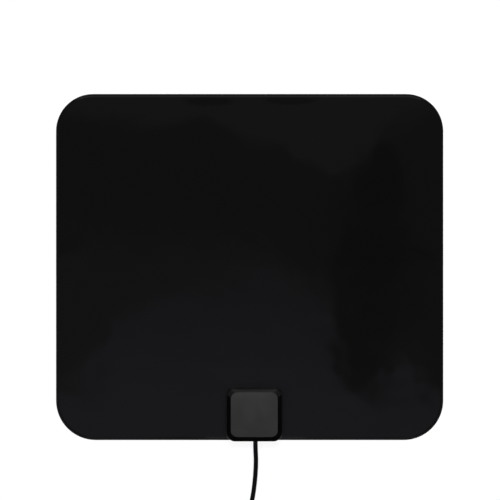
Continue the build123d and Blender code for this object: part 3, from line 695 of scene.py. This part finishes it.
def bulge_bevels(cover, chosen, rise):
    """Cut the bevels along their length and raise them half-way up: each corner's share of the way up."""
    heights = [corner.co.z for corner in corners_of(cover, chosen)]
    low, high = min(heights), max(heights)
    for share in BEVEL_CUTS:
        cut_faces(cover, chosen, (0.0, 0.0, low + (high - low) * share), (0, 0, 1))
    shares = {corner: (corner.co.z - low) / (high - low) for corner in corners_of(cover, chosen)}
    for corner, share in shares.items():
        corner.co.z += 4 * rise * share * (1.0 - share)
    cover.normal_update()
    return shares


def cover_mesh(housing):
    """The cover with swelling bevels and a gently domed face, which takes the second finish with its edge."""
    cover = node_form("housing_front_cover")
    edge_foot = COVER_HIGH.z - housing.edge_height
    shoulder = (COVER_LOW.z + 2 * COVER_HIGH.z) / 3
    least, most = BEVEL_SLOPES

    def on_face(face):
        return face.normal.z > LEVEL_SLOPE and face.calc_center_median().z > COVER_HIGH.z - NEAR

    def on_bevel(face):
        return least < face.normal.z < most and face.calc_center_median().z > shoulder

    def above_walls(face):
        return face.normal.z > least and face.calc_center_median().z > shoulder

    cut_grid(cover, housing.face_step, COVER_LOW, COVER_HIGH, above_walls)
    climbs = bulge_bevels(cover, on_bevel, housing.bevel_bulge)
    domed = corners_of(cover, on_face)
    columns = [corner.co.x for corner in domed]
    rows = [corner.co.y for corner in domed]
    far_x, far_y = max(columns), max(rows)
    middle = Vector((far_x + min(columns), far_y + min(rows))) / 2
    half = Vector((far_x, far_y)) - middle
    old_corner = far_y - max(corner.co.y for corner in domed if corner.co.x > far_x - NEAR)
    smoothed(cover, limit=30.0)
    for edge in cover.edges:
        if len({on_face(face) for face in edge.link_faces}) == 2:
            edge.smooth = False
    for face in cover.faces:
        face.material_index = int(face.normal.z > GENTLE_SLOPE and face.calc_center_median().z > edge_foot)
    for corner in cover.verts:
        climb = 1.0 if corner.co.z > edge_foot else climbs.get(corner, 0.0)
        if climb == 0.0:
            continue
        start = corner.co.xy - middle
        place = start.lerp(rounder(start, half, old_corner, housing.face_corner), climb)
        across, along = place.x / half.x, place.y / half.y
        corner.co.xy = middle + place - housing.face_inset * climb * Vector((across, along))
        if corner in domed:
            corner.co.z += housing.face_crown * (1.0 - abs(across) ** 3) * (1.0 - abs(along) ** 3)
    return finished_mesh("front_cover", cover)


def make_housing(settings):
    """Cover, tray, gasket and screws of the feed housing."""
    housing = settings.housing
    cover = add_piece("front_cover", cover_mesh(housing), polished_finish(housing))
    face = moulded_finish(
        "housing_face", housing.face_colour, scale=2600.0, rough=(0.34, 0.42), depth=0.000008, specular=0.37
    )
    cover.data.materials.append(face)
    cover.modifiers.new("even_shading", "WEIGHTED_NORMAL").keep_sharp = True
    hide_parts("housing_front_cover")
    tray = moulded_finish("housing_tray", housing.tray_colour, scale=2200.0, rough=(0.5, 0.65), depth=0.00001)
    dress("housing_rear_cover", tray)
    pale = housing.gasket_colour
    adhesive = moulded_finish("gasket_adhesive", pale, scale=900.0, rough=(0.4, 0.6), depth=0.00002)
    dress("adhesive_gasket", adhesive)
    turned = (900.0, 900.0, 200.0)
    zinc = metal_finish("screw_zinc", housing.screw_colour, turned, rough=(0.25, 0.4), depth=0.000006)
    dress("housing_screws", zinc)


def make_circuit(settings):
    """Matching circuit, its contacts and the stripped end of the lead."""
    circuit = settings.circuit
    stamped, drawn = (1500.0, 1500.0, 150.0), (2000.0, 150.0, 2000.0)
    brass = metal_finish("contact_brass", circuit.brass_colour, stamped, rough=(0.18, 0.3), depth=0.000003)
    copper = metal_finish("enamelled_copper", circuit.enamel_colour, drawn, rough=(0.2, 0.32), depth=0.000004)
    black = settings.cable.jacket_colour
    jacket = moulded_finish("jacket_end", black, scale=1800.0, rough=(0.42, 0.55), depth=0.000006)
    pale = circuit.insulation_colour
    milky = moulded_finish("inner_insulation", pale, scale=900.0, rough=(0.4, 0.5), depth=0.000004)
    core = moulded_finish("ferrite", circuit.ferrite_colour, scale=2600.0, rough=(0.6, 0.75), depth=0.00002)
    black = settings.tie.strap_colour
    nylon = moulded_finish("tie_nylon", black, scale=1800.0, rough=(0.35, 0.5), depth=0.000008)
    finishes = {
        "circuit_board": board_finish(circuit),
        "left_contact": brass,
        "right_contact": brass,
        "balun_core": core,
        "balun_windings": copper,
        "chip_capacitors": chip_finish(circuit),
        "strain_relief_tie": nylon,
        "cable_end": jacket,
        "coax_braid": braid_finish(circuit),
        "coax_dielectric": milky,
        "coax_conductor": copper,
    }
    for name, finish in finishes.items():
        dress(name, finish)


def coil_stretches(cable):
    """The winding's layers and climbs: turns, radius at start and end, level at start and end."""
    stretches = []
    start, end = cable.coil_outer, cable.coil_inner
    level = COIL_LOW.z + cable.diameter / 2
    for layer in range(cable.layers):
        if layer:
            stretches.append((cable.climb_turns, start, start, level - cable.diameter, level))
        stretches.append((cable.layer_turns, start, end, level, level))
        start, end = end, start
        level += cable.diameter
    return stretches


def coil_place(stretches, turn):
    """Radius and level of the winding after some turns."""
    for turns, start, end, bottom, top in stretches:
        if turn <= turns:
            share = turn / turns
            return start + (end - start) * share, bottom + (top - bottom) * share
        turn -= turns
    return end, top


def coil_points(cable):
    """Control points of the coil, wound clockwise, slightly outside the cord, which runs inside them."""
    stretches = coil_stretches(cable)
    step = 2 * math.pi / cable.points_per_turn
    outside = 1.0 / (0.75 + 0.25 * math.cos(step))
    points = []
    for index in range(round(sum(stretch[0] for stretch in stretches) * cable.points_per_turn) + 1):
        radius, level = coil_place(stretches, index / cable.points_per_turn)
        x = COIL_CENTRE.x + radius * outside * math.cos(-index * step)
        y = COIL_CENTRE.y + radius * outside * math.sin(-index * step)
        points.append((x, y, level))
    return points


def make_cable(settings):
    """The lead from the housing through its coil to the plug, as one smooth cord."""
    cable = settings.cable
    curve = bpy.data.curves.new("cable", "CURVE")
    curve.dimensions = "3D"
    curve.bevel_depth = cable.diameter / 2
    curve.bevel_resolution = 8
    curve.resolution_u = 6
    curve.use_fill_caps = True
    route = [*LEAD_ROUTE, *coil_points(cable), *TAIL_ROUTE]
    spline = curve.splines.new("NURBS")
    spline.points.add(len(route) - 1)
    for point, place in zip(spline.points, route):
        point.co = (*place, 1.0)
    spline.order_u = 3
    spline.use_endpoint_u = True
    finish = moulded_finish(
        "cable_jacket", cable.jacket_colour, scale=1800.0, rough=(0.34, 0.42), depth=0.000004, specular=0.08
    )
    cord = add_piece("cable", curve, finish)
    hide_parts("cable_lead", "cable_coil", "cable_tail")


def bundle_outline(cable, gap, angle):
    """Line of a strap pulled tight round the turns at an angle: distance from the coil's centre and level."""
    stretches = coil_stretches(cable)
    total = sum(stretch[0] for stretch in stretches)
    turn = -angle / (2 * math.pi) % 1.0
    reach = cable.diameter / 2 + gap
    rims = []
    while turn <= total:
        radius, level = coil_place(stretches, turn)
        spokes = [math.radians(degrees) for degrees in range(0, 360, SPOKE_STEP)]
        rims += [(radius + reach * math.cos(spoke), level + reach * math.sin(spoke)) for spoke in spokes]
        turn += 1.0
    return [Vector(rims[index]) for index in convex_hull_2d(rims)]


def strap_mesh(tie, cable):
    """A strap pulled tight round the coil's turns, slightly crowned, with a buckle on its outer side."""
    away = (STRAP_LOW + STRAP_HIGH) / 2 - COIL_CENTRE
    away.z = 0.0
    away.normalize()
    along = Vector((-away.y, away.x, 0.0))
    upward = Vector((0.0, 0.0, 1.0))
    foot = Vector((COIL_CENTRE.x, COIL_CENTRE.y, 0.0))
    outline = bundle_outline(cable, tie.strap_gap, math.atan2(away.y, away.x))
    inside = sum(outline, Vector((0.0, 0.0))) / len(outline)
    section = [(-1.0, 0.0), (1.0, 0.0)]
    section += [(share, 1.0 - tie.strap_crown * share**2) for share in STRAP_SHARES]
    strap = bmesh.new()
    rings = []
    for index, place in enumerate(outline):
        run = outline[(index + 1) % len(outline)] - outline[index - 1]
        normal = Vector((run.y, -run.x)).normalized()
        if normal.dot(place - inside) < 0.0:
            normal.negate()
        ring = []
        for side, share in section:
            point = place + normal * tie.strap_thickness * share
            point = foot + away * point.x + upward * point.y + along * (side * tie.strap_width / 2)
            ring.append(strap.verts.new(point))
        rings.append(ring)
    for index, ring in enumerate(rings):
        following = rings[(index + 1) % len(rings)]
        for column, corner in enumerate(ring):
            beside = (column + 1) % len(ring)
            strap.faces.new((corner, ring[beside], following[beside], following[column]))
    outermost = max(place.x for place in outline)
    seat = foot + away * (outermost + tie.buckle_depth / 2) + upward * inside.y
    turned = Matrix.Translation(seat) @ Matrix((away, along, upward)).transposed().to_4x4()
    size = Matrix.Diagonal((tie.buckle_depth, tie.buckle_width, tie.buckle_height, 1.0))
    buckle = bmesh.ops.create_cube(strap, size=1.0, matrix=turned @ size)
    edges = {edge for corner in buckle["verts"] for edge in corner.link_edges}
    bmesh.ops.bevel(strap, geom=list(edges), offset=tie.buckle_edge, segments=3, profile=0.5, affect="EDGES")
    bmesh.ops.recalc_face_normals(strap, faces=strap.faces)
    smoothed(strap, limit=40.0)
    return finished_mesh(STRAP_PIECE, strap)


def strap_finish(tie):
    """Black nylon strap with shallow ribs across it."""
    material, tree, shader = new_material("strap_nylon")
    scale = 2 * math.pi / (tie.rib_spacing * WAVE_BANDS)
    ribs = node(tree, "ShaderNodeTexWave", Vector=object_place(tree), Scale=scale, Distortion=0.2)
    ribs.bands_direction = "Z"
    grain = placed(tree, moulded_grain(), Scale=2200.0, Low_Roughness=0.36, High_Roughness=0.5)
    colour = shaded(tree, grain.outputs["Shade"], tie.strap_colour, low=0.8, high=1.2)
    coated(tree, shader, colour, grain.outputs["Roughness"], ribs.outputs["Fac"], depth=0.00006)
    return material


def make_coil_tie(settings):
    """Strap that holds the coil together."""
    tie = settings.tie
    strap = add_piece(STRAP_PIECE, strap_mesh(tie, settings.cable), strap_finish(tie))
    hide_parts("coil_tie")


def make_plug(settings):
    """Grip, sleeve, insulator and pin of the aerial plug."""
    plug = settings.plug
    turned = (60.0, 1400.0, 1400.0)
    nickel = metal_finish("bright_nickel", plug.metal_colour, turned, rough=(0.12, 0.22), depth=0.000002)
    grip = moulded_finish("grip_plastic", plug.grip_colour, scale=2000.0, rough=(0.4, 0.55), depth=0.00001)
    white = plug.insulator_colour
    insulator = moulded_finish("plug_insulation", white, scale=1500.0, rough=(0.35, 0.5), depth=0.000006)
    dress("plug_grip", grip)
    dress("plug_shell", nickel)
    dress("plug_pin", nickel)
    dress("plug_insulator", insulator)


# Stage


def rectangle(left, low, right, high):
    """Corners of a rectangle."""
    return [(left, low), (right, low), (right, high), (left, high)]


def stage_mesh(name, corners, level):
    """A flat outline at a level, as a stage object."""
    outline = bmesh.new()
    outline.faces.new([outline.verts.new((x, y, level)) for x, y in corners])
    made = bpy.data.objects.new(name, finished_mesh(name, outline))
    bpy.context.scene.collection.objects.link(made)
    return made


def bare_material(name):
    """A material with no shader yet: the material, its tree and its output."""
    material = bpy.data.materials.new(name)
    material.use_nodes = True
    tree = material.node_tree
    tree.nodes.clear()
    return material, tree, tree.nodes.new("ShaderNodeOutputMaterial")


def blended(tree, mask, first, second):
    """A shader between two shaders."""
    made = node(tree, "ShaderNodeMixShader", Fac=mask)
    feed(tree, made.inputs[1], first.outputs[0])
    feed(tree, made.inputs[2], second.outputs[0])
    return made


def floor_finish(stage):
    """White floor that keeps a soft shadow and shows nothing from below."""
    material, tree, result = bare_material("pale_floor")
    path = tree.nodes.new("ShaderNodeLightPath")
    seen = maths(tree, "MAXIMUM", path.outputs["Is Camera Ray"], path.outputs["Is Glossy Ray"])
    seen = maths(tree, "MAXIMUM", seen, path.outputs["Is Transmission Ray"])
    glow = node(tree, "ShaderNodeEmission", Color=WHITE, Strength=stage.floor_glow)
    soft = node(tree, "ShaderNodeBsdfDiffuse", Color=toned(WHITE, stage.floor_white))
    plain = node(tree, "ShaderNodeBsdfDiffuse", Color=toned(WHITE, stage.floor_bounce))
    lit = tree.nodes.new("ShaderNodeAddShader")
    feed(tree, lit.inputs[0], glow.outputs[0])
    feed(tree, lit.inputs[1], soft.outputs[0])
    side = tree.nodes.new("ShaderNodeNewGeometry")
    clear = tree.nodes.new("ShaderNodeBsdfTransparent")
    both = blended(tree, side.outputs["Backfacing"], blended(tree, seen, plain, lit), clear)
    feed(tree, result.inputs["Surface"], both.outputs[0])
    return material


def card_finish(name, colour, fade):
    """Faint glow of a studio card. It grows from a share at one place along Y to all of it at another."""
    material, tree, result = bare_material(name)
    start, end, share = fade
    place = tree.nodes.new("ShaderNodeTexCoord")
    split = node(tree, "ShaderNodeSeparateXYZ", Vector=place.outputs["Object"])
    strength = ranged(tree, split.outputs["Y"], start, end, share, 1.0)
    glow = node(tree, "ShaderNodeEmission", Color=colour, Strength=strength)
    feed(tree, result.inputs["Surface"], glow.outputs[0])
    return material


def only_mirrored(card, material):
    """Let only mirrored rays meet a card."""
    card.data.materials.append(material)
    card.visible_camera = False
    card.visible_diffuse = False
    card.visible_transmission = False
    card.visible_shadow = False


def camera_distance(stage):
    """Distance from which the lens takes in the width of the picture."""
    return stage.view_width * stage.lens / SENSOR_WIDTH


def add_card(name, outline, stage, level, material):
    """A level card. Its outline, in millimetres, is where the flat film mirrors it to the camera."""
    spread = 1.0 + level / camera_distance(stage)
    view = Vector((stage.view_x, stage.view_y))
    corners = [view + (Vector(corner) / MILLIMETRES - view) * spread for corner in outline]
    only_mirrored(stage_mesh(name, corners, level), material)


def add_upright(name, bearing, stage, size, material):
    """A card of a width, from one height to another, that faces the antenna from a bearing in degrees."""
    width, low, high = size
    card = stage_mesh(name, rectangle(-width / 2, low, width / 2, high), 0.0)
    turn = math.radians(bearing)
    card.rotation_euler = (math.pi / 2, 0.0, turn - math.pi / 2)
    card.location = (stage.upright_card * math.cos(turn), stage.upright_card * math.sin(turn), 0.0)
    only_mirrored(card, material)


def add_level_cards(stage):
    """The cards over the antenna that the film and its rim mirror."""
    upper = [(-160, 160), (-160, 97), (-84, 92), (-68, 86), (-50, 84), (-26, 92), (-8, 86), (2, 79), (24, 76)]
    upper += [(32, 67), (54, 57), (64, 62), (88, 82), (110, 97), (160, 100), (160, 160)]
    middle = [(-160, 22), (-20, 24), (14, 12), (46, -6), (70, -30), (70, -90), (-160, -90)]
    lower = [(-160, -74), (-104, -74), (-76, -26), (-30, -12), (8, 0), (22, -4), (44, -24), (66, -40)]
    lower += [(92, -50), (104, -78), (160, -82), (160, -320), (-160, -320)]
    dark = [(64, 64), (86, 82), (94, 40), (91, -20), (88, -60), (76, -84), (54, -60), (54, -20), (60, 30)]
    rim = rectangle(-160, 180, 160, 270)
    foot = rectangle(-20, -260, 32, -190)
    side = rectangle(-280, -120, -190, 120)
    near, far, step = stage.near_card, stage.far_card, stage.card_step
    cards = [
        ("middle", middle, far + 2 * step, stage.middle_card, (0.03, 0.0, 0.7)),
        ("lower", lower, far + step, stage.lower_card, (0.0, -0.14, 0.6)),
        ("dark", dark, far, stage.dark_card, (0.0, -0.14, 0.4)),
        ("upper", upper, near, stage.upper_card, (0.06, 0.10, 0.95)),
        ("rim", rim, near, stage.rim_card, (0.2, 0.3, 0.9)),
        ("foot", foot, near, stage.foot_card, (-0.3, -0.2, 1.0)),
        ("side", side, near, stage.side_card, (-0.1, 0.1, 0.9)),
    ]
    for name, outline, level, colour, fade in cards:
        add_card(f"{name}_card", outline, stage, level, card_finish(f"{name}_glow", colour, fade))


def add_upright_cards(stage):
    """The cards round the antenna, which the housing's bevels mirror, and the film in lower views."""
    corner_size, flank_size = (1.6, 0.45, 1.6), (1.4, 1.5, 2.4)
    low_fade, flank_fade = (0.75, 1.05, 0.12), (1.5, 2.4, 0.9)
    cards = [
        ("back", 90.0, (2.0, 0.45, 1.6), stage.back_card, low_fade),
        ("high", 90.0, (2.4, 1.9, 3.2), stage.high_card, (2.2, 3.2, 0.1)),
        ("right_corner", 35.0, corner_size, stage.corner_card, low_fade),
        ("right_flank", 0.0, flank_size, stage.flank_card, flank_fade),
        ("left_corner", 145.0, corner_size, stage.corner_card, low_fade),
        ("left_flank", 180.0, flank_size, stage.flank_card, flank_fade),
    ]
    for name, bearing, size, colour, fade in cards:
        add_upright(f"{name}_card", bearing, stage, size, card_finish(f"{name}_glow", colour, fade))


def add_lamp(name, power, place, size):
    """A soft lamp that looks at the antenna."""
    lamp = bpy.data.lights.new(name, "AREA")
    lamp.shape = "RECTANGLE"
    lamp.size, lamp.size_y = size
    lamp.energy = power
    light = bpy.data.objects.new(name, lamp)
    light.location = place
    light.rotation_euler = (-Vector(place)).to_track_quat("-Z", "Y").to_euler()
    light.visible_camera = False
    bpy.context.scene.collection.objects.link(light)
    return light


def shine_receivers():
    """All pieces but the glossy film, which mirrors only the cards and the room."""
    receivers = bpy.data.collections.new("shine_receivers")
    receivers.objects.link(bpy.data.objects[FILM_PIECE])
    for entry in receivers.collection_objects:
        entry.light_linking.link_state = "EXCLUDE"
    return receivers


def add_light(name, power, place, size, receivers):
    """A light as two lamps in one place: one for the colours, one for the shine."""
    soft = add_lamp(name, power, place, size)
    soft.visible_glossy = False
    shine = add_lamp(f"{name}_shine", power, place, size)
    shine.visible_diffuse = False
    shine.visible_transmission = False
    shine.light_linking.receiver_collection = receivers


def room(stage):
    """A dim room with a white horizon and a lighter ceiling."""
    world = bpy.data.worlds.new("dim_room")
    bpy.context.scene.world = world
    world.use_nodes = True
    tree = world.node_tree
    tree.nodes.clear()
    place = tree.nodes.new("ShaderNodeTexCoord")
    split = node(tree, "ShaderNodeSeparateXYZ", Vector=place.outputs["Generated"])
    level = ranged(tree, split.outputs["Z"], *HORIZON, 1.0, stage.room_level)
    ceiling = ranged(tree, split.outputs["Z"], *CEILING, 0.0, stage.ceiling_level - stage.room_level)
    glow = node(tree, "ShaderNodeBackground", Color=WHITE, Strength=maths(tree, "ADD", level, ceiling))
    result = tree.nodes.new("ShaderNodeOutputWorld")
    feed(tree, result.inputs["Surface"], glow.outputs[0])


def add_camera(stage):
    """A long lens straight above the antenna."""
    lens = bpy.data.cameras.new("camera")
    lens.lens = stage.lens
    lens.sensor_width = SENSOR_WIDTH
    lens.clip_end = VIEW_END
    camera = bpy.data.objects.new("camera", lens)
    camera.location = (stage.view_x, stage.view_y, FILM_HIGH.z + camera_distance(stage))
    bpy.context.scene.collection.objects.link(camera)
    bpy.context.scene.camera = camera


def make_stage(settings):
    """Floor, room, lights, cards and camera."""
    stage = settings.stage
    bpy.context.scene.view_settings.view_transform = "Standard"
    half = stage.floor_size / 2
    ground = stage_mesh("floor", rectangle(-half, -half, half, half), stage.floor_level)
    ground.data.materials.append(floor_finish(stage))
    room(stage)
    receivers = shine_receivers()
    key_size, side_size = (stage.key_width, stage.key_depth), (stage.side_width, stage.side_width)
    x, y, z = stage.side_place
    add_light("key_light", stage.key_power, stage.key_place, key_size, receivers)
    add_light("right_light", stage.side_power, (x, y, z), side_size, receivers)
    add_light("left_light", stage.side_power, (-x, y, z), side_size, receivers)
    add_level_cards(stage)
    add_upright_cards(stage)
    add_camera(stage)


def settings_of(context):
    return context.scene.antenna


class ANTENNA_OT_sheet(bpy.types.Operator):
    """Make the laminated sheet's films"""

    bl_idname = "antenna.sheet"
    bl_label = "Sheet"

    def execute(self, context):
        make_sheet(settings_of(context))
        return {"FINISHED"}


class ANTENNA_OT_foil(bpy.types.Operator):
    """Finish the foil elements"""

    bl_idname = "antenna.foil"
    bl_label = "Foil Elements"

    def execute(self, context):
        make_foil(settings_of(context))
        return {"FINISHED"}


class ANTENNA_OT_housing(bpy.types.Operator):
    """Finish the feed housing, its gasket and screws"""

    bl_idname = "antenna.housing"
    bl_label = "Feed Housing"

    def execute(self, context):
        make_housing(settings_of(context))
        return {"FINISHED"}


class ANTENNA_OT_circuit(bpy.types.Operator):
    """Finish the matching circuit and the stripped end of the lead"""

    bl_idname = "antenna.circuit"
    bl_label = "Matching Circuit"

    def execute(self, context):
        make_circuit(settings_of(context))
        return {"FINISHED"}


class ANTENNA_OT_coil_tie(bpy.types.Operator):
    """Make the strap that holds the coil"""

    bl_idname = "antenna.coil_tie"
    bl_label = "Coil Strap"

    def execute(self, context):
        make_coil_tie(settings_of(context))
        return {"FINISHED"}


class ANTENNA_OT_plug(bpy.types.Operator):
    """Finish the aerial plug"""

    bl_idname = "antenna.plug"
    bl_label = "Aerial Plug"

    def execute(self, context):
        make_plug(settings_of(context))
        return {"FINISHED"}


class ANTENNA_OT_cable(bpy.types.Operator):
    """Make the lead with its coil"""

    bl_idname = "antenna.cable"
    bl_label = "Lead"

    def execute(self, context):
        make_cable(settings_of(context))
        return {"FINISHED"}


class ANTENNA_OT_stage(bpy.types.Operator):
    """Make the floor, lights and camera"""

    bl_idname = "antenna.stage"
    bl_label = "Stage"

    def execute(self, context):
        make_stage(settings_of(context))
        return {"FINISHED"}


class VIEW3D_PT_antenna(bpy.types.Panel):
    """Sizes, colours and steps of the antenna"""

    bl_label = "Antenna"
    bl_idname = "VIEW3D_PT_antenna"
    bl_space_type = "VIEW_3D"
    bl_region_type = "UI"
    bl_category = "Antenna"

    def draw(self, context):
        settings = settings_of(context)
        steps = [
            (settings.sheet, "antenna.sheet"),
            (settings.foil, "antenna.foil"),
            (settings.housing, "antenna.housing"),
            (settings.circuit, "antenna.circuit"),
            (settings.tie, "antenna.coil_tie"),
            (settings.plug, "antenna.plug"),
            (settings.cable, "antenna.cable"),
            (settings.stage, "antenna.stage"),
        ]
        for group, step in steps:
            box = self.layout.box()
            for name in group.__annotations__:
                box.prop(group, name)
            box.operator(step)


CLASSES = (
    SheetSettings,
    FoilSettings,
    HousingSettings,
    CircuitSettings,
    CableSettings,
    TieSettings,
    PlugSettings,
    StageSettings,
    AntennaSettings,
    ANTENNA_OT_sheet,
    ANTENNA_OT_foil,
    ANTENNA_OT_housing,
    ANTENNA_OT_circuit,
    ANTENNA_OT_coil_tie,
    ANTENNA_OT_plug,
    ANTENNA_OT_cable,
    ANTENNA_OT_stage,
    VIEW3D_PT_antenna,
)


def register():
    for item in CLASSES:
        bpy.utils.register_class(item)
    bpy.types.Scene.antenna = PointerProperty(type=AntennaSettings)


def unregister():
    del bpy.types.Scene.antenna
    for item in reversed(CLASSES):
        bpy.utils.unregister_class(item)


def main():
    register()
    bpy.ops.antenna.sheet()
    bpy.ops.antenna.foil()
    bpy.ops.antenna.housing()
    bpy.ops.antenna.circuit()
    bpy.ops.antenna.coil_tie()
    bpy.ops.antenna.plug()
    bpy.ops.antenna.cable()
    bpy.ops.antenna.stage()


if __name__ == "__main__":
    main()
